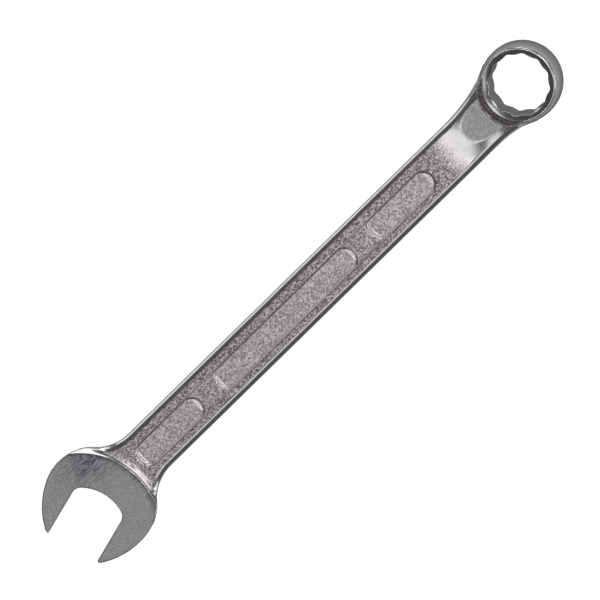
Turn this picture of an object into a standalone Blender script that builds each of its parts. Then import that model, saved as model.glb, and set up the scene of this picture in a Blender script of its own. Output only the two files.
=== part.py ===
"""Combination wrench, 17 mm: one drop forging with an open jaw and a 12-point ring.

Frame, in metres: +X runs along the shank from the open jaw to the ring, +Z is
the side that the ring is cranked up towards, and Z = 0 is the plane that the
wrench lies on. X = 0 is the middle of its length.
"""
import math

import bmesh
import bpy
from mathutils import Matrix, Vector

# Size that the wrench turns
NUT_SIZE = 0.0170

# Open head, in its own frame: A runs back from the mouth to the shank and N is
# across the mouth, with the centre of the throat's arc at (0, 0)
JAW_CENTRE = Vector((-0.09844, -0.00308))
JAW_TURN = math.radians(15)
HEAD_THICKNESS = 0.0076
HEAD_EDGE = 0.0003
THROAT_RADIUS = 0.0141
THROAT_CORNER = 0.0030
TIP_RADIUS = 0.0007
CHEEK_RADIUS = 0.02335
CHEEK_CENTRE = Vector((0.0132, -0.0059))
BACK_RADIUS = 0.01436
BACK_CENTRE = Vector((0.0121, 0.0030))
FACE_RADIUS = 0.0245
FACE_STEP = 0.0013

# Shank
SHANK_WIDTH = 0.0159
SHANK_THICKNESS = 0.0058
SHANK_OFFSET = 0.0006
SHANK_EDGE = 0.0011
FLARE_RADIUS = 0.0146

# Recessed panels in both faces of the shank, as (start, end) along X
PANELS = ((-0.0704, -0.0442), (-0.0377, 0.0204), (0.0269, 0.0531))
PANEL_WIDTH = 0.0076
PANEL_OFFSET = 0.0002
PANEL_DEPTH = 0.00065
CHANNEL_DEPTH = 0.0002

# Ring head, tilted so that its far side rises
RING_CENTRE = Vector((0.09195, 0.0015, 0.00829))
RING_TILT = math.radians(15)
RING_HEIGHT = 0.0109
RING_RADIUS = 0.01245
RING_TOP_RADIUS = 0.0113
RING_BOTTOM_RADIUS = 0.0117

# The crowned wall of the ring: where it bends, as a share of half the height, and
# how far each bend stands out from the rim or in from the widest part
TOP_BEND = (0.72, 0.0006)
BELLY_TOP = (0.30, 0.0001)
BELLY_BOTTOM = 0.70
BOTTOM_BEND = (0.88, 0.0002)

# Neck between the shank and the ring
NECK_RADIUS = 0.034
NECK_INSET = 0.0003
NECK_EDGE = 0.0022
RAMP_START = 0.0593
RAMP_END = 0.0778
RAMP_OVER = 0.0002
HEEL_START = 0.066
HEEL_DROP = 0.00065

# Twelve-point hole
POINT_FLAT = math.radians(3)
HOLE_TURN = math.radians(8)
COUNTERSINK_RADIUS = 0.0105
COUNTERSINK_DEPTH = 0.0010

# Fineness of round stretches
ARC_STEP = math.radians(6)
RING_STEPS = 64
EDGE_STEPS = 3
FLARE_SPAN = (-0.082, -0.062, 14)
NECK_SPAN = (0.058, 0.0874, 20)

# Steel left for grinding on each face of a head
GRIND_ALLOWANCE = 0.0010
GRIND_LENGTH = 0.034
GRIND_DEPTH = 0.012
GRIND_REACH = 0.0165

# How far cutters stand out of what they cut, and overlap past where they taper to
CUT_CLEARANCE = 0.002
CUT_OVERLAP = 0.0002

MID_PLANE = HEAD_THICKNESS / 2


def clear_scene():
    for thing in list(bpy.data.objects):
        bpy.data.objects.remove(thing, do_unlink=True)


def new_collection(name):
    collection = bpy.data.collections.new(name)
    bpy.context.scene.collection.children.link(collection)
    return collection


def forged_steel():
    """Satin chrome on a chrome vanadium forging."""
    material = bpy.data.materials.new("satin_chrome")
    material.use_nodes = True
    surface = material.node_tree.nodes["Principled BSDF"]
    surface.inputs["Base Color"].default_value = (0.56, 0.55, 0.55, 1.0)
    surface.inputs["Metallic"].default_value = 1.0
    surface.inputs["Roughness"].default_value = 0.38
    return material


def add_object(name, mesh, collection):
    thing = bpy.data.objects.new(name, mesh)
    collection.objects.link(thing)
    return thing


def arc(centre, radius, start, end):
    """Points on an arc from one angle to another, both ends included."""
    steps = max(2, math.ceil(abs(end - start) / ARC_STEP))
    points = []
    for i in range(steps + 1):
        angle = start + (end - start) * i / steps
        points.append(centre + radius * Vector((math.cos(angle), math.sin(angle))))
    return points


def direction(start, end):
    step = end - start
    return math.atan2(step.y, step.x)


def mirrored(points):
    """The same outline on the other side of the mouth, in the opposite order."""
    return [Vector((p.x, -p.y)) for p in reversed(points)]


def jaw_half():
    """One half of the open head's outline, from the back to the throat."""
    half_mouth = NUT_SIZE / 2
    gap = CHEEK_RADIUS - TIP_RADIUS
    tip_n = half_mouth + TIP_RADIUS
    tip_a = CHEEK_CENTRE.x - math.sqrt(gap**2 - (tip_n - CHEEK_CENTRE.y) ** 2)
    tip = Vector((tip_a, tip_n))
    corner_n = half_mouth - THROAT_CORNER
    corner_a = math.sqrt((THROAT_RADIUS - THROAT_CORNER) ** 2 - corner_n**2)
    corner = Vector((corner_a, corner_n))

    back_start = -math.asin(BACK_CENTRE.y / BACK_RADIUS)
    cheek_start = direction(CHEEK_CENTRE, BACK_CENTRE)
    cheek_end = direction(CHEEK_CENTRE, tip)
    throat_start = direction(Vector((0, 0)), corner)
    outline = arc(BACK_CENTRE, BACK_RADIUS, back_start, cheek_start)
    outline += arc(CHEEK_CENTRE, CHEEK_RADIUS, cheek_start, cheek_end)[1:]
    outline += arc(tip, TIP_RADIUS, cheek_end, 1.5 * math.pi)[1:]
    outline += arc(corner, THROAT_CORNER, 0.5 * math.pi, throat_start)
    outline += arc(Vector((0, 0)), THROAT_RADIUS, throat_start, 0)[1:]
    return outline


def outline_body(name, outline, half_height, edge, collection):
    """A flat outline raised to both sides of Z = 0, with chamfered edges."""
    curve = bpy.data.curves.new(name, "CURVE")
    curve.dimensions = "2D"
    curve.fill_mode = "BOTH"
    curve.extrude = half_height - edge
    curve.bevel_depth = edge
    curve.bevel_resolution = 0
    curve.offset = -edge
    spline = curve.splines.new("POLY")
    spline.points.add(len(outline) - 1)
    for point, (x, y) in zip(spline.points, outline):
        point.co = (x, y, 0, 1)
    spline.use_cyclic_u = True
    drawn = add_object(name, curve, collection)
    bpy.context.view_layer.update()
    depsgraph = bpy.context.evaluated_depsgraph_get()
    mesh = bpy.data.meshes.new_from_object(drawn.evaluated_get(depsgraph))
    bpy.data.objects.remove(drawn, do_unlink=True)
    bm = bmesh.new()
    bm.from_mesh(mesh)
    bmesh.ops.remove_doubles(bm, verts=bm.verts, dist=0.000002)
    bmesh.ops.recalc_face_normals(bm, faces=bm.faces)
    bm.to_mesh(mesh)
    bm.free()
    return add_object(name, mesh, collection)


def turned_body(name, profile, collection):
    """A solid of revolution about Z. The profile runs from the top down."""
    mesh = bpy.data.meshes.new(name)
    edges = [(i, i + 1) for i in range(len(profile) - 1)]
    mesh.from_pydata([(r, 0, z) for r, z in profile], edges, [])
    thing = add_object(name, mesh, collection)
    screw = thing.modifiers.new("turn", "SCREW")
    screw.steps = RING_STEPS
    screw.render_steps = RING_STEPS
    screw.use_merge_vertices = True
    screw.merge_threshold = 0.00001
    return thing


def boolean(target, tool, operation):
    """Joins, cuts or trims the target with a tool, which is then only a guide."""
    modifier = target.modifiers.new(tool.name, "BOOLEAN")
    modifier.operation = operation
    modifier.solver = "EXACT"
    modifier.object = tool
    tool.hide_render = True
    tool.display_type = "WIRE"


def jaw_place():
    spot = Matrix.Translation((JAW_CENTRE.x, JAW_CENTRE.y, MID_PLANE))
    return spot @ Matrix.Rotation(JAW_TURN, 4, "Z")


def ring_place(height=0.0):
    """The ring's own frame, moved up its axis by a height."""
    tilted = Matrix.Translation(RING_CENTRE) @ Matrix.Rotation(-RING_TILT, 4, "Y")
    return tilted @ Matrix.Translation((0, 0, height))


def open_head(collection):
    half = jaw_half()
    outline = half + mirrored(half)[1:-1]
    head = outline_body("wrench_forging", outline, MID_PLANE, HEAD_EDGE, collection)
    head.matrix_world = jaw_place()
    return head


def face_disc(collection):
    """What bounds the head's thick faces: a disc about the throat with sloping edges."""
    outer = FACE_RADIUS + FACE_STEP
    shank_level = SHANK_THICKNESS / 2
    above = MID_PLANE + GRIND_ALLOWANCE
    slope = FACE_STEP / (MID_PLANE - shank_level)
    inner = FACE_RADIUS - slope * GRIND_ALLOWANCE
    profile = [(0, above), (inner, above), (outer, shank_level)]
    profile += [(outer, -shank_level), (inner, -above), (0, -above)]
    disc = turned_body("face_disc", profile, collection)
    disc.matrix_world = jaw_place()
    return disc


def fillet_edge(x, edge_y, centre, radius, fillet):
    """The distance from Y = 0 to the shank's edge, where a fillet joins a round head.

    The fillet touches the straight edge and a circle of a radius about a centre.
    """
    across = edge_y + fillet - centre.y
    along = math.sqrt((radius + fillet) ** 2 - across**2)
    touch = along * radius / (radius + fillet)
    run = along - max(abs(x - centre.x), touch)
    if run <= 0:
        return edge_y
    return edge_y + fillet - math.sqrt(fillet**2 - run**2)


def edge_height(x, side):
    """The shank's edge at x on one side (+1 or -1), flaring into both heads."""
    edge_y = SHANK_WIDTH / 2 + side * SHANK_OFFSET
    if x < 0:
        turn = Matrix.Rotation(JAW_TURN, 2)
        back = JAW_CENTRE + turn @ Vector((BACK_CENTRE.x, side * BACK_CENTRE.y))
        head = Vector((back.x, side * back.y))
        return side * fillet_edge(x, edge_y, head, BACK_RADIUS, FLARE_RADIUS)
    ring = Vector((RING_CENTRE.x, side * RING_CENTRE.y))
    return side * fillet_edge(x, edge_y, ring, RING_RADIUS - NECK_INSET, NECK_RADIUS)


def smooth_share(x, start, end):
    share = min(max((x - start) / (end - start), 0), 1)
    return share * share * (3 - 2 * share)


def ring_face_height(x):
    """Height of the ring's ground top face, or of its plane, at x."""
    above = RING_HEIGHT / 2 / math.cos(RING_TILT)
    return RING_CENTRE.z + above + math.tan(RING_TILT) * (x - RING_CENTRE.x)


def top_height(x):
    """The handle's top: flat, then a hollow ramp that rises to the ring's face."""
    shank_top = MID_PLANE + SHANK_THICKNESS / 2
    if x <= RAMP_START:
        return shank_top
    if x >= RAMP_END:
        return ring_face_height(x) + RAMP_OVER
    rise = ring_face_height(RAMP_END) - shank_top
    return shank_top + rise * ((x - RAMP_START) / (RAMP_END - RAMP_START)) ** 2


def handle_section(x):
    """One rounded rectangle across the shank or the neck, as a loop of points.

    In the neck the sections come to lean as the ring does.
    """
    neck = smooth_share(x, HEEL_START, RING_CENTRE.x - RING_RADIUS)
    top = top_height(x)
    bottom = MID_PLANE - SHANK_THICKNESS / 2 - HEEL_DROP * neck
    edge = SHANK_EDGE + (NECK_EDGE - SHANK_EDGE) * neck
    lean = math.tan(RING_TILT) * neck
    left = edge_height(x, 1) - edge
    right = edge_height(x, -1) + edge
    corners = (
        (left, top - edge),
        (right, top - edge),
        (right, bottom + edge),
        (left, bottom + edge),
    )
    loop = []
    for quarter, corner in enumerate(corners):
        start = quarter * math.pi / 2
        for step in range(EDGE_STEPS + 1):
            angle = start + step / EDGE_STEPS * math.pi / 2
            y = corner[0] + edge * math.cos(angle)
            z = corner[1] + edge * math.sin(angle)
            loop.append((x - lean * (z - RING_CENTRE.z), y, z))
    return loop


def spaced(start, end, steps):
    return [start + (end - start) * i / steps for i in range(steps + 1)]


def handle(collection):
    """The shank and the neck, lofted through their sections from head to ring."""
    bm = bmesh.new()
    loops = []
    for x in spaced(*FLARE_SPAN) + spaced(*NECK_SPAN):
        loops.append([bm.verts.new(point) for point in handle_section(x)])
    count = len(loops[0])
    for first, second in zip(loops, loops[1:]):
        for i in range(count):
            j = (i + 1) % count
            bm.faces.new((first[i], first[j], second[j], second[i]))
    bm.faces.new(loops[0][::-1])
    bm.faces.new(loops[-1])
    bmesh.ops.recalc_face_normals(bm, faces=bm.faces)
    mesh = bpy.data.meshes.new("handle")
    bm.to_mesh(mesh)
    bm.free()
    return add_object("handle", mesh, collection)


def ring_blank(collection):
    """The ring before it is ground and broached: a disc with a crowned wall."""
    half = RING_HEIGHT / 2
    over = half + GRIND_ALLOWANCE
    profile = [
        (0, over),
        (RING_TOP_RADIUS, over),
        (RING_TOP_RADIUS, half),
        (RING_TOP_RADIUS + TOP_BEND[1], TOP_BEND[0] * half),
        (RING_RADIUS - BELLY_TOP[1], BELLY_TOP[0] * half),
        (RING_RADIUS, 0),
        (RING_RADIUS, -BELLY_BOTTOM * half),
        (RING_RADIUS - BOTTOM_BEND[1], -BOTTOM_BEND[0] * half),
        (RING_BOTTOM_RADIUS, -half),
        (RING_BOTTOM_RADIUS, -over),
        (0, -over),
    ]
    blank = turned_body("ring_blank", profile, collection)
    blank.matrix_world = ring_place()
    return blank


def grinding_block(name, side, collection):
    """What is ground off one face of the ring and of the neck beside it."""
    bm = bmesh.new()
    bmesh.ops.create_cube(bm, size=1)
    bmesh.ops.scale(bm, vec=(GRIND_LENGTH, GRIND_LENGTH, GRIND_DEPTH), verts=bm.verts)
    level = side * (RING_HEIGHT + GRIND_DEPTH) / 2
    middle = (GRIND_LENGTH / 2 - GRIND_REACH, 0, level)
    bmesh.ops.translate(bm, vec=middle, verts=bm.verts)
    mesh = bpy.data.meshes.new(name)
    bm.to_mesh(mesh)
    bm.free()
    block = add_object(name, mesh, collection)
    block.matrix_world = ring_place()
    return block


def broach(collection):
    """The twelve-point hole: two hexagons turned by 30 degrees, their points blunted."""
    outline = []
    ridge_radius = NUT_SIZE / 2 / math.cos(math.pi / 12)
    point_radius = NUT_SIZE / 2 / math.cos(math.pi / 6 - POINT_FLAT)
    for i in range(12):
        ridge = HOLE_TURN + i * math.pi / 6
        point = ridge + math.pi / 12
        corners = (
            (ridge, ridge_radius),
            (point - POINT_FLAT, point_radius),
            (point + POINT_FLAT, point_radius),
        )
        for angle, radius in corners:
            outline.append(Vector((radius * math.cos(angle), radius * math.sin(angle))))
    tool = outline_body("broach", outline, RING_HEIGHT, 0, collection)
    tool.matrix_world = ring_place()
    return tool


def countersink(name, side, collection):
    """A cone that opens out through one face of the ring."""
    inner = NUT_SIZE / 2
    slope = (COUNTERSINK_RADIUS - inner) / COUNTERSINK_DEPTH
    bm = bmesh.new()
    bmesh.ops.create_cone(
        bm,
        cap_ends=True,
        segments=RING_STEPS,
        radius1=inner - slope * CUT_OVERLAP,
        radius2=COUNTERSINK_RADIUS + slope * CUT_CLEARANCE,
        depth=COUNTERSINK_DEPTH + CUT_CLEARANCE + CUT_OVERLAP,
    )
    if side < 0:
        bmesh.ops.rotate(bm, matrix=Matrix.Rotation(math.pi, 3, "X"), verts=bm.verts)
    mesh = bpy.data.meshes.new(name)
    bm.to_mesh(mesh)
    bm.free()
    cone = add_object(name, mesh, collection)
    middle = (RING_HEIGHT + CUT_CLEARANCE - COUNTERSINK_DEPTH - CUT_OVERLAP) / 2
    cone.matrix_world = ring_place(side * middle)
    return cone


def stadium(start, end, width):
    radius = width / 2
    outline = arc(Vector((end - radius, 0)), radius, -math.pi / 2, math.pi / 2)
    outline += arc(Vector((start + radius, 0)), radius, math.pi / 2, 1.5 * math.pi)
    return outline


def panel(name, start, end, depth, side, collection):
    """A pocket with round ends and sloping walls, sunk into one face of the shank."""
    outline = stadium(start, end, PANEL_WIDTH)
    pocket = outline_body(name, outline, CUT_CLEARANCE, depth, collection)
    floor = SHANK_THICKNESS / 2 - depth
    level = MID_PLANE + side * (floor + CUT_CLEARANCE)
    pocket.matrix_world = Matrix.Translation((0, PANEL_OFFSET, level))
    return pocket


def build():
    clear_scene()
    part = new_collection("combination_wrench")
    tools = new_collection("cutters")
    forging = open_head(part)
    boolean(forging, face_disc(tools), "INTERSECT")
    boolean(forging, handle(tools), "UNION")
    boolean(forging, ring_blank(tools), "UNION")
    for side, face in ((1, "top"), (-1, "bottom")):
        boolean(forging, grinding_block("grind_" + face, side, tools), "DIFFERENCE")
    boolean(forging, broach(tools), "DIFFERENCE")
    for side, face in ((1, "top"), (-1, "bottom")):
        boolean(forging, countersink("countersink_" + face, side, tools), "DIFFERENCE")
        whole = panel("channel_" + face, PANELS[0][0], PANELS[-1][1], CHANNEL_DEPTH, side, tools)
        boolean(forging, whole, "DIFFERENCE")
        for number, (start, end) in enumerate(PANELS, 1):
            name = "panel_%s_%d" % (face, number)
            boolean(forging, panel(name, start, end, PANEL_DEPTH, side, tools), "DIFFERENCE")
    forging.data.materials.append(forged_steel())
    forging.data.shade_smooth()
    forging.data.set_sharp_from_angle(angle=math.radians(30))


build()
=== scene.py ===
"""Looks for the combination wrench: one chrome forging, with the finish of each of its zones.

The forging's surface is described once, as a signed distance with rounded edges, and a
mesh is wrapped round it. Lengths are in metres and the frame is the CAD model's: X runs
along the shank from the open jaw to the ring, and Z is up from the floor.
"""

import math

import bpy
import numpy as np
from mathutils import Matrix, Vector


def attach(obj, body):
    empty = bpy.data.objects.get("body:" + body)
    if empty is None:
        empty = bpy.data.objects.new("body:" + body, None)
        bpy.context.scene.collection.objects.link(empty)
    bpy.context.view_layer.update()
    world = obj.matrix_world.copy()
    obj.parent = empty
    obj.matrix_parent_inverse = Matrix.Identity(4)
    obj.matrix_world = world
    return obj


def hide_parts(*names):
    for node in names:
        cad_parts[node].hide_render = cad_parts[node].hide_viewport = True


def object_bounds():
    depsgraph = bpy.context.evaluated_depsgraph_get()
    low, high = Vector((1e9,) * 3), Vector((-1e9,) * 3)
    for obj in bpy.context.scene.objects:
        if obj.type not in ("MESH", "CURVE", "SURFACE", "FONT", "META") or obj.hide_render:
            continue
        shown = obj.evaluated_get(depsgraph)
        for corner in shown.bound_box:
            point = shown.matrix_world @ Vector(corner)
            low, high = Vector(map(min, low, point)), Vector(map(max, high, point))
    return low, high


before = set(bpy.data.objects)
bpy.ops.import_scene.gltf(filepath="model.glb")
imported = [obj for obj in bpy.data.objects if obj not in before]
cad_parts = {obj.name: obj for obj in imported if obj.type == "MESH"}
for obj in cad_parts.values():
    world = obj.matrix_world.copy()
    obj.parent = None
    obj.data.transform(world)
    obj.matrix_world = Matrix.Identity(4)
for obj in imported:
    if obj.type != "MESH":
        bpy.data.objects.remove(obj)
CAD_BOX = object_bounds()

NODE = "wrench_forging"
MM = 0.001

# Size that the wrench turns
NUT_SIZE = 0.0170

# Open head. A runs back from the mouth to the shank and N is across the mouth
JAW_CENTRE = (-0.09844, -0.00308)
JAW_TURN = math.radians(15)
HEAD_THICKNESS = 0.0076
HEAD_EDGE = 0.00028
THROAT_RADIUS = 0.0141
THROAT_CORNER = 0.0030
TIP_RADIUS = 0.0007
BLUNT_TIP_RADIUS = 0.0012
CHEEK_RADIUS = 0.02335
CHEEK_CENTRE = (0.0132, -0.0059)
BACK_RADIUS = 0.01436
BACK_CENTRE = (0.0121, 0.0030)
MID_PLANE = HEAD_THICKNESS / 2

# Where the head's ground faces step down to the shank, with a small ridge past the step
FACE_RADIUS = 0.0245
FACE_STEP = 0.0007
FACE_ROOT = 0.0004
FACE_LIFT = 0.0003
FACE_RUNOUT = 0.0034
RIPPLE_GAP = 0.00085
RIPPLE_WIDTH = 0.00030
RIPPLE_HEIGHT = 0.00010

# Shank
SHANK_WIDTH = 0.0159
SHANK_THICKNESS = 0.0058
SHANK_OFFSET = 0.0006
SHOULDER_REACH = 0.0022
SHOULDER_RADIUS = 0.0029
PARTING_EDGE = 0.0003
SHANK_START = -0.0805
FLARE_RADIUS = 0.0146
SHANK_TOP = MID_PLANE + SHANK_THICKNESS / 2

# Recessed panels in both faces of the shank, and the shallow channel that joins them
PANELS = ((-0.0704, -0.0442), (-0.0377, 0.0204), (0.0269, 0.0531))
PANEL_WIDTH = 0.0076
PANEL_OFFSET = 0.0002
PANEL_DEPTH = 0.00066
PANEL_WALL = 0.00042
PANEL_WALL_SHARE = 0.9
PANEL_SCOOP = 0.9
PANEL_END_WALL = 0.00070
PANEL_END_SHARE = 0.66
PANEL_RAMP = 0.00180
LEDGE_HEIGHT = 0.00012
LEDGE_WIDTH = 0.0016
LEDGE_EDGE = 0.0003
LIP_DEPTH = 0.00005
LIP_WIDTH = 0.0003
CHANNEL_DEPTH = 0.00022

# Ring head, tilted so that its far side rises
RING_CENTRE = (0.0917, 0.0015, 0.00829)
RING_TILT = math.radians(15)
RING_HEIGHT = 0.0109
RING_RADIUS = 0.01245
RING_TOP_RADIUS = 0.0113
RING_TOP_BEND = 2.2
RING_BOTTOM_RADIUS = 0.0120
RING_BOTTOM_BEND = 4
RING_RIM = 0.00045

# The boss that carries the ring's top face out over the neck
BOSS_REACH = 0.0023
BOSS_SPREAD = math.radians(48)
BOSS_HEIGHT = 0.0034

# Neck. Its flare has one radius on the +Y side and another on the -Y side
NECK_RADIUS = {1: 0.055, -1: 0.034}
NECK_SHOULDER_REACH = 0.0014
NECK_SHOULDER_RADIUS = 0.0018
NECK_BLEND = 0.0012
NECK_INSET = 0.0016
NECK_TOUCH = (0.0850, 0.0895)
NECK_END = 0.0905
NECK_BELOW_FACE = 0.00005
TRIM_REACH = 0.006
RAMP_START = 0.0577
RAMP_END = 0.0778
RAMP_UNDER = 0.00120
HEEL_START = 0.066
HEEL_DROP = 0.00065

# The neck's crown, and the thumb-shaped flat that a linishing belt leaves on it
CROWN_DELAY = 0.003
CROWN_START = 0.045
CROWN_END = 0.032
THUMB_START = 0.0677
THUMB_WIDTH = 0.0059
THUMB_NOSE = 0.0036

# Twelve-point hole
HOLE_EDGE = 0.00028
RIDGE_ROUND = 0.0007
POINT_ROUND = 0.0008
HOLE_TURN = math.radians(8)
COUNTERSINK_RADIUS = 0.0108
RECESS_RADIUS = 0.0097
RECESS_DEPTH = 0.0005
LEAD_SLOPE = math.radians(35)
LEAD_ROUND = 0.00025

# Where the finishes change. A face's level is the Z part of its normal
FACE_SLACK = 0.00004
HEAD_ZONE_END = -0.07
THUMB_SLACK = 0.0002
RING_ZONE_START = 0.07
RING_FACE_INSET = 0.00048
RING_FACE_GAP = 0.0001
BORE_INSET = 0.0004
BORE_DEPTH = 0.00006
LEVEL_FROM = 0.982
LEVEL_FULL = 0.997
POLISH_START = RAMP_START - 0.002
POLISH_FULL = RAMP_START + 0.0075
SCUFF_CENTRE = (-0.0807, 0.0108)
SCUFF_REACH = (0.0085, 0.0060)
BACK_SCUFF_WIDTH = 0.0016
BACK_SCUFF_SHARE = 0.7
# Width of the painted shade along the step at the head's back edge
STEP_SHADE_WIDTH = 0.0009

# Spacing of the lines of the grid that the mesh is wrapped on
FINE = 0.00013
ACROSS_STEP = 0.00029
COARSE = 0.0012
END_STEP = 0.00025
HEAD_STEP = 0.00042
HEAD_STEP_END = -0.0725
NECK_STEP = 0.00043
RING_STEP = 0.00029
LINES_AT_ONCE = 16

# How the wrapped points are moved onto the surface, and the span that normals are measured on
SLOPE_SPAN = 0.000004
SLOPE_FLOOR = 0.05
LONGEST_MOVE = 0.0002
NORMAL_SPAN = 0.00007

# Camera, floor and surroundings
VIEW_TURN = math.radians(44.36)
VIEW_CENTRE = Vector((-0.00173, 0.00114, MID_PLANE))
VIEW_WIDTH = 0.1808
CAMERA_DISTANCE = 3.2
SENSOR = 36
FLOOR_SIZE = 3.0
FLOOR_DROP = 0.0002
FLOOR_GLOW = 0.85
DIM = 0.11
MIRRORED_FLOOR = 0.52


# ---------------------------------------------------------------- distances


def length(*parts):
    return np.sqrt(sum(part * part for part in parts))


def mix(first, second, share):
    return first + (second - first) * share


def smooth_share(value, start, end):
    share = np.clip((value - start) / (end - start), 0, 1)
    return share * share * (3 - 2 * share)


def round_both(first, second, radius):
    """What is inside both shapes, with the edge between them rounded."""
    outside = length(np.maximum(first + radius, 0), np.maximum(second + radius, 0))
    return np.minimum(np.maximum(first, second), -radius) + outside


def round_either(first, second, radius):
    """What is inside either shape, with a fillet where they meet."""
    inside = length(np.maximum(radius - first, 0), np.maximum(radius - second, 0))
    return np.maximum(np.minimum(first, second), radius) - inside


def jaw_frame(x, y):
    """Distances back from the throat's centre and across the mouth."""
    dx = x - JAW_CENTRE[0]
    dy = y - JAW_CENTRE[1]
    cosine = math.cos(JAW_TURN)
    sine = math.sin(JAW_TURN)
    return dx * cosine + dy * sine, dy * cosine - dx * sine


def ring_frame(x, y, z):
    """Distances across the ring, along Y, and up its axis."""
    dx = x - RING_CENTRE[0]
    dy = y - RING_CENTRE[1]
    dz = z - RING_CENTRE[2]
    cosine = math.cos(RING_TILT)
    sine = math.sin(RING_TILT)
    return dx * cosine + dz * sine, dy, dz * cosine - dx * sine


def mouth_distance(a, n):
    """The open mouth: a slot that ends in the throat's arc with rounded corners."""
    across = np.abs(n)
    half = NUT_SIZE / 2 - THROAT_CORNER
    radius = THROAT_RADIUS - THROAT_CORNER
    corner = math.sqrt(radius**2 - half**2)
    slot = across - half
    disc = np.where(a > 0, length(a, across) - radius, slot)
    sharp = np.maximum(slot, disc)
    past_slot = (across > half) & (a > corner)
    past_arc = across * corner > a * half
    rounded = np.where(past_slot & past_arc, length(a - corner, across - half), sharp)
    return rounded - THROAT_CORNER


def head_outline(a, n):
    """The open head seen from above."""
    across = np.abs(n)
    cheek_a, cheek_n = CHEEK_CENTRE
    back_a, back_n = BACK_CENTRE
    cheek = length(a - cheek_a, across - cheek_n) - CHEEK_RADIUS
    back = length(a - back_a, across - back_n) - BACK_RADIUS
    rear = (a - cheek_a) * (back_n - cheek_n) - (across - cheek_n) * (back_a - cheek_a) > 0
    return np.where(rear, back, cheek)


def head_distance(x, y, z):
    """The open head, with its ground faces stepped down to the shank at the back."""
    a, n = jaw_frame(x, y)
    off_middle = np.abs(z - MID_PLANE)
    tip = np.where(n < 0, BLUNT_TIP_RADIUS, TIP_RADIUS)
    outline = round_both(head_outline(a, n), -mouth_distance(a, n), tip)
    slab = round_both(outline, off_middle - HEAD_THICKNESS / 2, HEAD_EDGE)
    drop = (HEAD_THICKNESS - SHANK_THICKNESS) / 2 - FACE_LIFT
    slope = math.hypot(drop, FACE_STEP)
    out = (length(a, n) - FACE_RADIUS) * drop / slope
    up = (off_middle - HEAD_THICKNESS / 2) * FACE_STEP / slope
    return round_both(slab, out + up, HEAD_EDGE / 2)


def side_distance(x, y, side):
    """How far a point is outside one edge of the handle, flares and neck included."""
    across = side * y
    edge = SHANK_WIDTH / 2 + side * SHANK_OFFSET
    turn = Matrix.Rotation(JAW_TURN, 2)
    back = Vector(JAW_CENTRE) + turn @ Vector((BACK_CENTRE[0], side * BACK_CENTRE[1]))
    heads = (
        (back.x, side * back.y, BACK_RADIUS, FLARE_RADIUS, 1),
        (RING_CENTRE[0], side * RING_CENTRE[1], RING_RADIUS, NECK_RADIUS[side], -1),
    )
    result = across - edge
    for head_x, head_y, radius, fillet, facing in heads:
        fillet_y = edge + fillet
        reach = math.sqrt((radius + fillet) ** 2 - (fillet_y - head_y) ** 2)
        fillet_x = head_x + facing * reach
        flare = fillet - length(x - fillet_x, across - fillet_y)
        inset = NECK_INSET * smooth_share(x, *NECK_TOUCH)
        disc = length(x - head_x, across - head_y) - radius + inset
        in_flare = (x - fillet_x) * facing < 0
        beyond = (x - head_x) * (fillet_y - head_y) - (across - head_y) * (fillet_x - head_x)
        at_disc = in_flare & (beyond * facing < 0)
        result = np.where(in_flare, flare, result)
        result = np.where(at_disc, disc, result)
    return result


def ring_face_height(x):
    """Height of the ring's tilted top face over a point on the wrench's middle line."""
    above = RING_HEIGHT / 2 / math.cos(RING_TILT)
    return RING_CENTRE[2] + above + math.tan(RING_TILT) * (x - RING_CENTRE[0])


def neck_height(x, y):
    """Height of the neck's forged top, which climbs to the ring and is crowned across."""
    reach = RING_CENTRE[0] - x
    around = length(reach, y - RING_CENTRE[1])
    share = smooth_share(x, RAMP_START, RAMP_END)
    along = RING_CENTRE[0] - mix(reach, np.where(reach > 0, around, reach), share)
    rise = ring_face_height(RAMP_END) - RAMP_UNDER - SHANK_TOP
    part = np.clip((along - RAMP_START) / (RAMP_END - RAMP_START), 0, None)
    slope = 2 * rise / (RAMP_END - RAMP_START)
    height = np.where(part > 1, rise + slope * (along - RAMP_END), rise * part * part)
    started = smooth_share(x, RAMP_START + CROWN_DELAY, RAMP_END)
    crown = started / mix(CROWN_START, CROWN_END, started) / 2
    return SHANK_TOP + height - crown * (y - RING_CENTRE[1]) ** 2


def thumb_height(x):
    """The belt takes the crown down to the height that it has at the flat's edge."""
    run = np.clip(x - THUMB_START, 0, None)
    half_width = THUMB_WIDTH * np.sqrt(1 - np.exp(-run / THUMB_NOSE))
    return neck_height(x, RING_CENTRE[1] + half_width)


def stadium_distance(x, y, start, end):
    """How far a point is inside a panel's outline, and how squarely it faces the +X end."""
    radius = PANEL_WIDTH / 2
    across = y - PANEL_OFFSET
    along = x - np.clip(x, start + radius, end - radius)
    away = length(along, across)
    return radius - away, along / np.maximum(away, 1e-9)


def scooped(share):
    """From 0 to 1, nearly upright at the start and level at the end."""
    low = math.sqrt(1 - PANEL_SCOOP)
    return (np.sqrt(1 - PANEL_SCOOP * (1 - share) ** 2) - low) / (1 - low)


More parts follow.
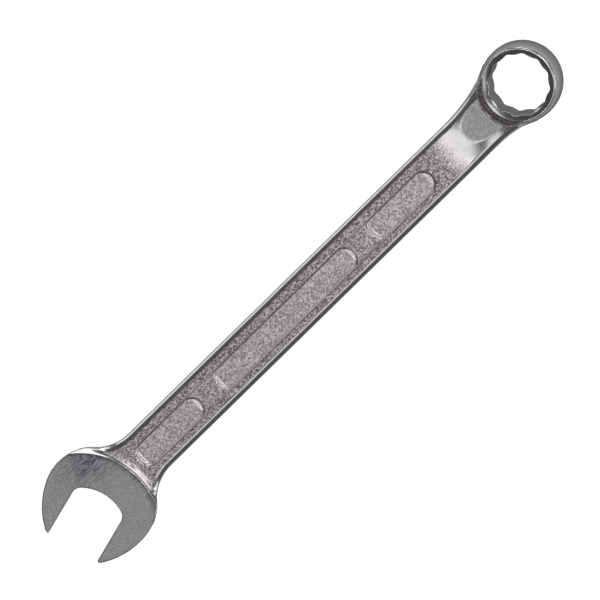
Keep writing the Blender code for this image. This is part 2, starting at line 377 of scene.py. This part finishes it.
def pocket_depth(x, y, start, end, depth):
    """A scooped wall with a faint lip along the sides, and a wall and a ramp at the ends.

    The -X end has a small ledge part of the way down.
    """
    inside, facing = stadium_distance(x, y, start, end)
    end_on = facing**2
    width = mix(PANEL_WALL, PANEL_END_WALL, end_on)
    share = np.clip(inside / width, 0, 1)
    wall = mix(scooped(share), (share + smooth_share(share, 0, 1)) / 2, end_on)
    ramp = mix(PANEL_WALL, PANEL_RAMP, end_on)
    floor = smooth_share(inside, width / 2, width + ramp)
    ledge_end = 1 - smooth_share(inside, LEDGE_WIDTH, LEDGE_WIDTH + LEDGE_EDGE)
    ledge = LEDGE_HEIGHT * np.clip(-facing, 0, 1) ** 4 * ledge_end
    steep = mix(PANEL_WALL_SHARE, PANEL_END_SHARE, end_on)
    lip = LIP_DEPTH * np.clip(inside / LIP_WIDTH + 1, 0, 1) * (1 - end_on)
    below = lip + (depth - lip) * (steep * wall + (1 - steep) * floor)
    return below - np.minimum(ledge, depth * wall / 2)


def sunk(x, y):
    """Depth of the panels and of the channel between them."""
    depth = pocket_depth(x, y, PANELS[0][0], PANELS[-1][1], CHANNEL_DEPTH)
    for start, end in PANELS:
        depth = np.maximum(depth, pocket_depth(x, y, start, end, PANEL_DEPTH))
    return depth


def raised(x, y):
    """Height of the ridge just past the head's step, and of the slope that runs out from it."""
    a, n = jaw_frame(x, y)
    from_ridge = length(a, n) - FACE_RADIUS - FACE_STEP - RIPPLE_GAP
    ridge = RIPPLE_HEIGHT * np.exp(-((from_ridge / RIPPLE_WIDTH) ** 2))
    return ridge + FACE_LIFT * (1 - smooth_share(from_ridge, -RIPPLE_GAP, FACE_RUNOUT))


def handle_distance(x, y, z):
    """The shank and the neck. In the neck the sections come to lean as the ring does."""
    neck = smooth_share(x, HEEL_START, RING_CENTRE[0] - RING_RADIUS)
    leant = x + math.tan(RING_TILT) * neck * (z - RING_CENTRE[2])
    side = np.maximum(side_distance(leant, y, 1), side_distance(leant, y, -1))
    low = sunk(x, y) - raised(x, y)
    neck_top = np.minimum(neck_height(x, y), thumb_height(x))
    top = np.where(x < RAMP_START, SHANK_TOP - low, neck_top)
    bottom = MID_PLANE - SHANK_THICKNESS / 2 - HEEL_DROP * neck + low
    reach = mix(SHOULDER_REACH, NECK_SHOULDER_REACH, neck)
    radius = mix(SHOULDER_RADIUS, NECK_SHOULDER_RADIUS, neck)
    into = np.clip(side + reach, 0, reach)
    shoulder = radius - np.sqrt(radius**2 - into**2)
    body = round_both(side, z - top + shoulder, PARTING_EDGE)
    body = round_both(body, bottom - z + shoulder, PARTING_EDGE)
    ends = np.maximum(SHANK_START - x, x - NECK_END)
    return np.maximum(body, ends)


def ring_distance(u, v, w):
    """The ring before its hole is cut: a wall that draws in towards both of its faces."""
    half = RING_HEIGHT / 2
    radius = length(u, v)
    furthest = 1.3
    up = np.clip(w / half, 0, furthest)
    down = np.clip(-w / half, 0, furthest)
    wall = RING_RADIUS - (RING_RADIUS - RING_TOP_RADIUS) * up**RING_TOP_BEND
    wall = wall - (RING_RADIUS - RING_BOTTOM_RADIUS) * down**RING_BOTTOM_BEND
    body = round_both(radius - wall, w - half, RING_RIM)
    return round_both(body, -w - half, 2 * RING_RIM)


def rim_radius(u, v):
    """Radius of the top face's rim, which is egg-shaped towards the neck."""
    turn = np.arctan2(v, -u)
    return RING_TOP_RADIUS + BOSS_REACH * np.exp(-((turn / BOSS_SPREAD) ** 4))


def boss_distance(u, v, w):
    """What raises the ring's top face above the neck."""
    half = RING_HEIGHT / 2
    body = round_both(length(u, v) - rim_radius(u, v), w - half, RING_RIM)
    return np.maximum(body, half - BOSS_HEIGHT - w)


def hole_distance(u, v, w):
    """The broached hole: two hexagons 30 degrees apart, points and ridges blunted."""
    hexagons = []
    for shift in (0, math.pi / 6):
        sides = []
        for i in range(3):
            turn = HOLE_TURN + shift + i * math.pi / 3
            sides.append(np.abs(u * math.cos(turn) + v * math.sin(turn)) - NUT_SIZE / 2)
        hexagon = round_both(round_both(sides[0], sides[1], POINT_ROUND), sides[2], POINT_ROUND)
        hexagons.append(hexagon)
    hole = round_either(hexagons[0], hexagons[1], RIDGE_ROUND)
    depth = RING_HEIGHT / 2 - np.abs(w)
    radius = length(u, v)
    slope = (COUNTERSINK_RADIUS - RECESS_RADIUS) / RECESS_DEPTH
    cone = (radius - COUNTERSINK_RADIUS + slope * depth) / math.hypot(1, slope)
    deeper = (depth - RECESS_DEPTH) * math.cos(LEAD_SLOPE)
    lead = (radius - RECESS_RADIUS) * math.sin(LEAD_SLOPE) + deeper
    return np.minimum(cone, round_either(hole, lead, LEAD_ROUND))


def forging_distance(x, y, z):
    """How far a point is outside the wrench: negative in the steel.

    Near the ring, nothing stands past the ring's two faces.
    """
    u, v, w = ring_frame(x, y, z)
    past_faces = np.abs(w) - RING_HEIGHT / 2
    near_ring = length(u, v) < RING_RADIUS + TRIM_REACH
    handle = handle_distance(x, y, z)
    past_neck = w - RING_HEIGHT / 2 + NECK_BELOW_FACE
    handle = np.where(near_ring, np.maximum(handle, past_neck), handle)
    ring = round_either(ring_distance(u, v, w), handle, NECK_BLEND)
    ring = np.minimum(ring, boss_distance(u, v, w))
    ring = np.where(near_ring, np.maximum(ring, past_faces), ring)
    body = round_both(ring, -hole_distance(u, v, w), HOLE_EDGE)
    return round_either(head_distance(x, y, z), body, FACE_ROOT)


# ---------------------------------------------------------------- mesh

CORNERS = [(i, j, k) for i in (0, 1) for j in (0, 1) for k in (0, 1)]


def grid_lines(start, spans):
    """Lines from a start, through spans given as (end, spacing)."""
    lines = [np.array([start])]
    for end, step in spans:
        count = max(1, math.ceil((end - start) / step))
        lines.append(np.linspace(start, end, count + 1)[1:])
        start = end
    return np.concatenate(lines)


def grid():
    """Lines along X, Y and Z, closer together where the shape changes quickly."""
    low, high = CAD_BOX
    margin = 0.0004
    around = 0.0003
    spans = [(HEAD_STEP_END, HEAD_STEP)]
    rounded = PANEL_WIDTH / 2 + around
    for start, end in PANELS:
        spans.append((start - around, COARSE / 2))
        spans.append((start + rounded, END_STEP))
        spans.append((end - rounded, COARSE))
        spans.append((end + around, END_STEP))
    spans += [(RAMP_START, COARSE / 2), (RAMP_END, NECK_STEP), (high.x + margin, RING_STEP)]
    xs = grid_lines(low.x - margin, spans)
    wall_low = PANEL_OFFSET - PANEL_WIDTH / 2
    wall_high = PANEL_OFFSET + PANEL_WIDTH / 2
    ys = grid_lines(
        low.y - margin,
        (
            (wall_low - around, ACROSS_STEP),
            (wall_low + 3 * around, FINE),
            (wall_high - 3 * around, COARSE / 3),
            (wall_high + around, FINE),
            (high.y + margin, ACROSS_STEP),
        ),
    )
    zs = grid_lines(low.z - margin, [(high.z + margin, ACROSS_STEP)])
    return xs, ys, zs


def sample(xs, ys, zs):
    """Distances at every crossing of the grid's lines, a few lines at a time."""
    values = np.empty((len(xs), len(ys), len(zs)))
    for start in range(0, len(xs), LINES_AT_ONCE):
        some = slice(start, start + LINES_AT_ONCE)
        x, y, z = np.meshgrid(xs[some], ys, zs, indexing="ij")
        values[some] = forging_distance(x, y, z)
    return values


def crossed_cells(inside):
    """The grid's cells that the surface crosses, and each cell's number in that list."""
    shape = tuple(n - 1 for n in inside.shape)
    count = np.zeros(shape, dtype=np.int8)
    for i, j, k in CORNERS:
        count += inside[i : i + shape[0], j : j + shape[1], k : k + shape[2]]
    cells = np.argwhere((count > 0) & (count < len(CORNERS)))
    number = -np.ones(shape, dtype=np.int64)
    number[tuple(cells.T)] = np.arange(len(cells))
    return cells, number


def net_points(axes, values, cells):
    """One point in each cell: the middle of where the surface crosses the cell's edges."""
    total = np.zeros((len(cells), 3))
    crossings = np.zeros(len(cells))
    for first in CORNERS:
        for axis in range(3):
            if first[axis]:
                continue
            second = tuple(1 if n == axis else first[n] for n in range(3))
            start = cells + np.array(first)
            end = cells + np.array(second)
            low = values[tuple(start.T)]
            high = values[tuple(end.T)]
            crossed = (low < 0) != (high < 0)
            share = np.where(crossed, low / np.where(crossed, low - high, 1), 0)
            for n in range(3):
                begin = axes[n][start[:, n]]
                finish = axes[n][end[:, n]]
                total[:, n] += np.where(crossed, begin + share * (finish - begin), 0)
            crossings += crossed
    return total / crossings[:, None]


def net_quads(inside, number):
    """One quad round each of the grid's edges that the surface crosses, facing outwards."""
    quads = []
    for axis in range(3):
        other = [n for n in range(3) if n != axis]
        core = [slice(1, -1)] * 3
        core[axis] = slice(None, -1)
        ahead = list(core)
        ahead[axis] = slice(1, None)
        here = inside[tuple(core)]
        there = inside[tuple(ahead)]
        edges = np.argwhere(here != there)
        leaving = here[tuple(edges.T)]
        for n in other:
            edges[:, n] += 1
        ring = []
        for step in ((0, 0), (1, 0), (1, 1), (0, 1)):
            cell = edges.copy()
            cell[:, other[0]] -= step[0]
            cell[:, other[1]] -= step[1]
            ring.append(number[tuple(cell.T)])
        quad = np.stack(ring, 1)
        flip = leaving if axis == 1 else ~leaving
        quad[flip] = quad[flip][:, ::-1]
        quads.append(quad)
    return np.concatenate(quads)


def wrap(xs, ys, zs, values):
    """Surface nets: one point in each cell that the surface crosses, joined by quads."""
    inside = values < 0
    cells, number = crossed_cells(inside)
    return net_points((xs, ys, zs), values, cells), net_quads(inside, number)


def gradient(points, step=SLOPE_SPAN):
    """Distance and outward direction at each point."""
    x, y, z = points.T
    here = forging_distance(x, y, z)
    parts = []
    for n in range(3):
        move = [0.0, 0.0, 0.0]
        move[n] = step
        ahead = forging_distance(x + move[0], y + move[1], z + move[2])
        behind = forging_distance(x - move[0], y - move[1], z - move[2])
        parts.append((ahead - behind) / (2 * step))
    return here, np.stack(parts, 1)


def settle(points):
    """Moves the points onto the surface."""
    here, slope = gradient(points)
    move = here[:, None] * slope / np.maximum((slope**2).sum(1), SLOPE_FLOOR)[:, None]
    size = np.sqrt((move**2).sum(1))
    move *= np.minimum(1, LONGEST_MOVE / np.maximum(size, 1e-12))[:, None]
    return points - move


def relax(points, quads):
    """Evens out the spacing of the points, along the surface."""
    total = np.zeros_like(points)
    count = np.zeros(len(points))
    for n in range(4):
        for other in (quads[:, (n + 1) % 4], quads[:, (n - 1) % 4]):
            np.add.at(total, quads[:, n], points[other])
            np.add.at(count, quads[:, n], 1)
    average = total / count[:, None]
    _, slope = gradient(points)
    normal = slope / np.maximum(np.sqrt((slope**2).sum(1)), 1e-9)[:, None]
    move = (average - points) * 0.5
    move -= (move * normal).sum(1)[:, None] * normal
    return points + move


# ---------------------------------------------------------------- zones of finish


def ground_zones(x, y, z):
    """How far a point is inside the head's ground faces and the neck's belt-ground flat."""
    head = np.minimum(np.abs(z - MID_PLANE) - HEAD_THICKNESS / 2 + FACE_SLACK, HEAD_ZONE_END - x)
    forged = neck_height(x, y)
    belt = thumb_height(x)
    thumb = np.minimum(forged - belt, THUMB_SLACK - np.abs(z - np.minimum(forged, belt)))
    return head, np.where((x > THUMB_START) & (z > MID_PLANE), thumb, -MM)


def ring_zones(x, y, z):
    """How far a point is inside the ring's rough faces and the hole's satin walls."""
    u, v, w = ring_frame(x, y, z)
    past_faces = np.abs(w) - RING_HEIGHT / 2
    radius = length(u, v)
    from_rim = rim_radius(u, v) - RING_FACE_INSET - radius
    from_countersink = radius - COUNTERSINK_RADIUS - RING_FACE_GAP
    face = np.minimum(past_faces + FACE_SLACK, np.minimum(from_rim, from_countersink))
    bore = np.minimum(RING_TOP_RADIUS - BORE_INSET - radius, -past_faces - BORE_DEPTH)
    return face, np.where(x > RING_ZONE_START, bore, -MM)


def blasted(x, y, normals):
    """The shank's level faces are blasted. They are polished towards the neck."""
    level = smooth_share(np.abs(normals[:, 2]), LEVEL_FROM, LEVEL_FULL)
    aft = 1 - smooth_share(x, POLISH_START, POLISH_FULL)
    return level * aft * (length(*jaw_frame(x, y)) > FACE_RADIUS)


def scuffs_and_step_shade(x, y):
    """How strongly the head is scuffed, and how dark the painted shade along the step at its back
    edge is.
    """
    off_x = (x - SCUFF_CENTRE[0]) / SCUFF_REACH[0]
    off_y = (y - SCUFF_CENTRE[1]) / SCUFF_REACH[1]
    to_back = FACE_RADIUS - length(*jaw_frame(x, y))
    along_back = BACK_SCUFF_SHARE * np.exp(-((to_back / BACK_SCUFF_WIDTH) ** 2))
    scuff = np.maximum(np.exp(-(off_x**2 + off_y**2)), along_back)
    return scuff, np.exp(-((to_back / STEP_SHADE_WIDTH) ** 2))


def zones(points, normals):
    """How strongly each zone's finish shows at each point, by name."""
    x, y, z = points.T
    head, thumb = ground_zones(x, y, z)
    ring_face, bore = ring_zones(x, y, z)
    scuff, painted_step_shade = scuffs_and_step_shade(x, y)
    return {
        "head_face": head,
        "thumb": thumb,
        "ring_face": ring_face,
        "bore": bore,
        "blast": blasted(x, y, normals),
        "scuff": scuff,
        "painted_step_shade": painted_step_shade,
        "panel": sunk(x, y) / PANEL_DEPTH * (x < RAMP_START),
    }


# ---------------------------------------------------------------- material

POLISHED = (0.60, 0.585, 0.58, 1)
BLOTCH_DARK = (0.50, 0.475, 0.48, 1)
BLOTCH_PALE = (0.58, 0.55, 0.56, 1)
GRAIN_DARK = (0.08, 0.065, 0.075, 1)
GRAIN_PALE = (0.72, 0.665, 0.70, 1)
PANEL_TINT = (1, 0.97, 0.98, 1)
# Ground grey. On the neck's belt-ground flat it is partly the real ground finish and partly painted
# shade for the flat's duller reflection
GROUND_DARK = (0.32, 0.32, 0.325, 1)
GROUND_PALE = (0.38, 0.375, 0.38, 1)
SCUFF = (0.10, 0.095, 0.125, 1)
# Painted shade along the step at the head's back edge
PAINTED_STEP_SHADE = (0.07, 0.07, 0.10, 1)
ROUGH_DARK = (0.10, 0.085, 0.09, 1)
ROUGH_PALE = (0.40, 0.36, 0.375, 1)
BORE = (0.42, 0.43, 0.42, 1)
FLOOR_GREY = (0.90, 0.90, 0.90, 1)
FLOOR_WHITE = (0.94, 0.94, 0.94, 1)

# How strongly each of these colours shows where it is strongest
GRAIN_SHARE = 0.9
PANEL_SHARE = 0.18
STEP_SHADE_SHARE = 0.6

# Turn about Z and density of each set of grinding scratches, and what each adds
SCRATCH_DIRECTIONS = ((0.35, 5200), (-0.5, 4300), (1.25, 4700))
SCRATCH_SHARE = 0.33

# Half the width of the edge between two finishes, and the height of the metal's relief
ZONE_EDGE = 0.00001
RELIEF = 0.00008


class Tree:
    """Adds nodes to a material and joins them up."""

    def __init__(self, name):
        self.material = bpy.data.materials.new(name)
        self.material.use_nodes = True
        self.nodes = self.material.node_tree.nodes
        self.links = self.material.node_tree.links
        self.surface = self.nodes["Principled BSDF"]
        self.place = self.add("ShaderNodeTexCoord").outputs["Object"]

    def add(self, kind, settings=None, inputs=None):
        """A new node. Each of its inputs is linked to a socket or set to a value."""
        node = self.nodes.new(kind)
        for key, value in (settings or {}).items():
            setattr(node, key, value)
        for key, value in (inputs or {}).items():
            if isinstance(value, bpy.types.NodeSocket):
                self.links.new(value, node.inputs[key])
            else:
                node.inputs[key].default_value = value
        return node

    def attribute(self, name):
        return self.add("ShaderNodeAttribute", {"attribute_name": name}).outputs["Fac"]

    def zone(self, name):
        """1 inside a zone and 0 outside it, with a crisp edge."""
        return self.ramp(self.attribute(name), -ZONE_EDGE, ZONE_EDGE)

    def math(self, operation, first, second):
        return self.add("ShaderNodeMath", {"operation": operation}, {0: first, 1: second}).outputs[0]

    def times(self, first, second):
        return self.math("MULTIPLY", first, second)

    def ramp(self, value, low, high, start=0.0, end=1.0):
        """Climbs smoothly from start to end while the value goes from low to high."""
        inputs = {"Value": value, "From Min": low, "From Max": high, "To Min": start, "To Max": end}
        settings = {"interpolation_type": "SMOOTHSTEP"}
        return self.add("ShaderNodeMapRange", settings, inputs).outputs[0]

    def blend(self, share, first, second):
        """A number between two numbers."""
        settings = {"data_type": "FLOAT"}
        node = self.add("ShaderNodeMix", settings, {0: share, 2: first, 3: second})
        return node.outputs[0]

    def colour(self, share, first, second):
        """A colour between two colours."""
        settings = {"data_type": "RGBA"}
        node = self.add("ShaderNodeMix", settings, {0: share, 6: first, 7: second})
        return node.outputs[2]

    def stretched(self, turn, scale):
        """Places turned about Z and scaled along each axis."""
        inputs = {"Vector": self.place, "Rotation": (0, 0, turn), "Scale": scale}
        return self.add("ShaderNodeMapping", {"vector_type": "TEXTURE"}, inputs).outputs[0]

    def noise(self, scale, detail=2.0, rough=0.5, place=None):
        inputs = {"Scale": scale, "Detail": detail, "Roughness": rough}
        inputs["Vector"] = place or self.place
        return self.add("ShaderNodeTexNoise", {}, inputs).outputs["Fac"]

    def cells(self, scale):
        inputs = {"Vector": self.place, "Scale": scale}
        return self.add("ShaderNodeTexVoronoi", {}, inputs).outputs["Distance"]


def grinding_scratches(tree):
    """Fine straight scratches in three directions."""
    total = 0.0
    for turn, density in SCRATCH_DIRECTIONS:
        place = tree.stretched(turn, (14.0, 1.0, 14.0))
        lines = tree.ramp(tree.noise(density, place=place), 0.42, 0.62)
        total = tree.math("ADD", total, lines)
    return tree.times(total, SCRATCH_SHARE)


def blasted_colour(tree, coarse_grain, blotches):
    """Pale and dark grains over faint blotches, a little paler in the panels."""
    under = tree.colour(tree.ramp(blotches, 0.35, 0.65), BLOTCH_DARK, BLOTCH_PALE)
    grains = tree.colour(tree.ramp(coarse_grain, 0.435, 0.585), GRAIN_DARK, GRAIN_PALE)
    rail = tree.colour(GRAIN_SHARE, under, grains)
    return tree.colour(tree.times(tree.attribute("panel"), PANEL_SHARE), rail, PANEL_TINT)


def ground_colour(tree, scratches):
    """Scratched grey, with dark scuffs and painted shade along the step at the head's back edge."""
    bare = tree.colour(scratches, GROUND_DARK, GROUND_PALE)
    drawn_out = tree.stretched(-0.15, (5.0, 1.0, 5.0))
    strokes = tree.noise(scale=3000, detail=3.0, rough=0.6, place=drawn_out)
    strokes = tree.ramp(strokes, 0.40, 0.56)
    scuffed = tree.colour(tree.times(tree.attribute("scuff"), strokes), bare, SCUFF)
    # Painted shade along the step at the head's back edge, laid over the ground face
    line = tree.times(tree.attribute("painted_step_shade"), STEP_SHADE_SHARE)
    return tree.colour(line, scuffed, PAINTED_STEP_SHADE)


def rough_face_colour(tree):
    """The ring's faces are left as forged: dark, with paler specks."""
    speckle = tree.ramp(tree.noise(scale=2600, detail=3.0, rough=0.7), 0.48, 0.66)
    return tree.colour(speckle, ROUGH_DARK, ROUGH_PALE)


def chrome():
    """Satin chrome that is blasted, ground, polished or left rough, zone by zone."""
    tree = Tree("satin_chrome_finishes")
    coarse_grain = tree.noise(scale=1900, detail=3.0, rough=0.75)
    fine_grain = tree.noise(scale=4200, detail=2.0, rough=0.6)
    blotches = tree.noise(scale=160, detail=3.0, rough=0.55)
    pits = tree.ramp(tree.cells(scale=1100), 0.0, 0.35, start=1.0, end=0.0)
    scratches = grinding_scratches(tree)

    blast = tree.attribute("blast")
    ragged = tree.times(tree.noise(scale=900), 0.00006)
    ragged_thumb = tree.math("ADD", tree.attribute("thumb"), ragged)
    thumb = tree.ramp(ragged_thumb, 0.0, 0.00012)
    # The neck's flat takes the ground grey: partly its real ground finish, partly painted shade
    # standing in for the duller reflection that the flat gives
    ground = tree.math("MAXIMUM", tree.zone("head_face"), thumb)
    face = tree.zone("ring_face")
    bore = tree.zone("bore")

    colour = tree.colour(blast, POLISHED, blasted_colour(tree, coarse_grain, blotches))
    colour = tree.colour(ground, colour, ground_colour(tree, scratches))
    colour = tree.colour(face, colour, rough_face_colour(tree))
    colour = tree.colour(bore, colour, BORE)

    polished_rough = tree.ramp(blotches, 0.3, 0.7, start=0.16, end=0.24)
    blasted_rough = tree.ramp(fine_grain, 0.3, 0.7, start=0.27, end=0.38)
    ground_rough = tree.ramp(scratches, 0.1, 0.7, start=0.26, end=0.38)
    rough = tree.blend(blast, polished_rough, blasted_rough)
    rough = tree.blend(ground, rough, ground_rough)
    rough = tree.blend(face, rough, 0.46)
    rough = tree.blend(bore, rough, 0.22)

    grain = tree.math("ADD", tree.times(coarse_grain, 0.6), tree.times(fine_grain, 0.4))
    grain = tree.math("SUBTRACT", grain, tree.times(pits, 0.15))
    height = tree.times(grain, tree.blend(blast, 0.06, 1.0))
    height = tree.blend(ground, height, tree.times(scratches, 0.12))
    height = tree.blend(face, height, tree.times(grain, 1.4))
    relief = {"Height": height, "Strength": 1.0, "Distance": RELIEF}
    bump = tree.add("ShaderNodeBump", {}, relief).outputs[0]

    tree.links.new(colour, tree.surface.inputs["Base Color"])
    tree.links.new(rough, tree.surface.inputs["Roughness"])
    tree.links.new(bump, tree.surface.inputs["Normal"])
    tree.surface.inputs["Metallic"].default_value = 1.0
    return tree.material


# ---------------------------------------------------------------- pieces


def show(name, data):
    """Puts a new object into the scene."""
    thing = bpy.data.objects.new(name, data)
    bpy.context.scene.collection.objects.link(thing)
    return thing


def forging_surface():
    """Points on the forging's surface, and the quads that join them."""
    xs, ys, zs = grid()
    points, quads = wrap(xs, ys, zs, sample(xs, ys, zs))
    for _ in range(2):
        points = settle(points)
    for _ in range(3):
        points = settle(relax(points, quads))
    points = settle(settle(points))
    return np.clip(points, np.array(CAD_BOX[0]), np.array(CAD_BOX[1])), quads


def forging():
    """The whole wrench, shaded by the true surface's normals."""
    points, quads = forging_surface()
    _, slope = gradient(points, NORMAL_SPAN)
    normals = slope / np.sqrt((slope**2).sum(1))[:, None]
    mesh = bpy.data.meshes.new("wrench_body")
    mesh.from_pydata(points.tolist(), [], quads.tolist())
    for name, values in zones(points, normals).items():
        layer = mesh.attributes.new(name, "FLOAT", "POINT")
        layer.data.foreach_set("value", values.astype(np.float32))
    mesh.shade_smooth()
    mesh.normals_split_custom_set_from_vertices(normals.tolist())
    mesh.materials.append(chrome())
    return show("wrench_body", mesh)


def floor_material():
    """Pale and matt. It glows, so that it stays nearly white all round the wrench."""
    tree = Tree("pale_floor")
    colour = tree.colour(tree.noise(scale=40, detail=3.0), FLOOR_GREY, FLOOR_WHITE)
    tree.links.new(colour, tree.surface.inputs["Base Color"])
    tree.surface.inputs["Roughness"].default_value = 0.9
    tree.surface.inputs["Specular IOR Level"].default_value = 0.0
    tree.surface.inputs["Emission Color"].default_value = (1, 1, 1, 1)
    tree.surface.inputs["Emission Strength"].default_value = FLOOR_GLOW
    return tree.material


def floor():
    """A plain floor just under the wrench. The metal mirrors the world instead of it."""
    mesh = bpy.data.meshes.new("floor")
    corners = [(x * FLOOR_SIZE, y * FLOOR_SIZE, 0) for x, y in ((-1, -1), (1, -1), (1, 1), (-1, 1))]
    mesh.from_pydata(corners, [], [(0, 1, 2, 3)])
    mesh.materials.append(floor_material())
    thing = show("floor", mesh)
    thing.location.z = -FLOOR_DROP
    thing.visible_glossy = False
    return thing


# ---------------------------------------------------------------- camera and lights


def camera():
    """Straight above the wrench, turned so that the shank climbs to the right."""
    data = bpy.data.cameras.new("camera")
    data.sensor_width = SENSOR
    data.lens = SENSOR * CAMERA_DISTANCE / VIEW_WIDTH
    data.clip_start = 0.01
    data.clip_end = 20
    thing = show("camera", data)
    thing.location = VIEW_CENTRE + Vector((0, 0, CAMERA_DISTANCE))
    thing.rotation_euler = (0, 0, -VIEW_TURN)
    bpy.context.scene.camera = thing


def softbox(name, polar, towards, distance, size, power):
    """A rectangular light, a polar angle off the vertical, towards a direction in the plan."""
    data = bpy.data.lights.new(name, "AREA")
    data.shape = "RECTANGLE"
    data.size, data.size_y = size
    data.energy = power
    polar = math.radians(polar)
    towards = math.radians(towards)
    across = math.sin(polar)
    way = Vector((across * math.cos(towards), across * math.sin(towards), math.cos(polar)))
    thing = show(name, data)
    thing.location = way * distance
    thing.rotation_euler = way.to_track_quat("Z", "Y").to_euler()


def lights():
    """Keys from above and the jaw's end, and low fill from the ring's end and the sides."""
    softbox("overhead", polar=11, towards=0, distance=0.9, size=(0.16, 0.3), power=0.29)
    softbox("key", polar=13, towards=180, distance=2.5, size=(0.5, 1.2), power=2.5)
    softbox("key_low", polar=30, towards=180, distance=2.0, size=(0.35, 0.6), power=1.5)
    softbox("near_strip", polar=26, towards=270, distance=1.5, size=(0.7, 0.45), power=1.1)
    softbox("ring_side", polar=40, towards=0, distance=1.5, size=(0.6, 0.6), power=2.4)
    softbox("left_side", polar=70, towards=90, distance=1.5, size=(0.8, 0.6), power=1.9)
    softbox("far_side", polar=70, towards=45, distance=1.5, size=(0.8, 0.6), power=3.4)
    softbox("right_side", polar=70, towards=315, distance=1.5, size=(0.8, 0.6), power=3.0)


def surroundings():
    """Dim surroundings, and under the horizon the pale floor as the metal mirrors it.

    The ramp runs from straight down at 0, through the horizon at 0.5, to straight up at 1.
    """
    floor_below = 0.27 * MIRRORED_FLOOR
    floor_near = 0.64 * MIRRORED_FLOOR
    brightness = (
        (0, floor_below),
        (0.12, floor_near),
        (0.30, MIRRORED_FLOOR),
        (0.42, MIRRORED_FLOOR),
        (0.49, DIM),
        (1, DIM),
    )
    world = bpy.data.worlds.new("studio")
    world.use_nodes = True
    nodes = world.node_tree.nodes
    links = world.node_tree.links
    place = nodes.new("ShaderNodeTexCoord")
    split = nodes.new("ShaderNodeSeparateXYZ")
    lift = nodes.new("ShaderNodeMapRange")
    lift.inputs["From Min"].default_value = -1
    ramp = nodes.new("ShaderNodeValToRGB")
    stops = ramp.color_ramp.elements
    for height, _ in brightness[1:-1]:
        stops.new(height)
    for stop, (_, value) in zip(stops, brightness):
        stop.color = (value, value, value, 1)
    links.new(place.outputs["Generated"], split.inputs[0])
    links.new(split.outputs["Z"], lift.inputs["Value"])
    links.new(lift.outputs[0], ramp.inputs[0])
    links.new(ramp.outputs[0], nodes["Background"].inputs["Color"])
    bpy.context.scene.world = world


body = forging()
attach(body, "root")
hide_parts(NODE)
floor()
camera()
surroundings()
lights()
bpy.context.scene.view_settings.view_transform = "Standard"
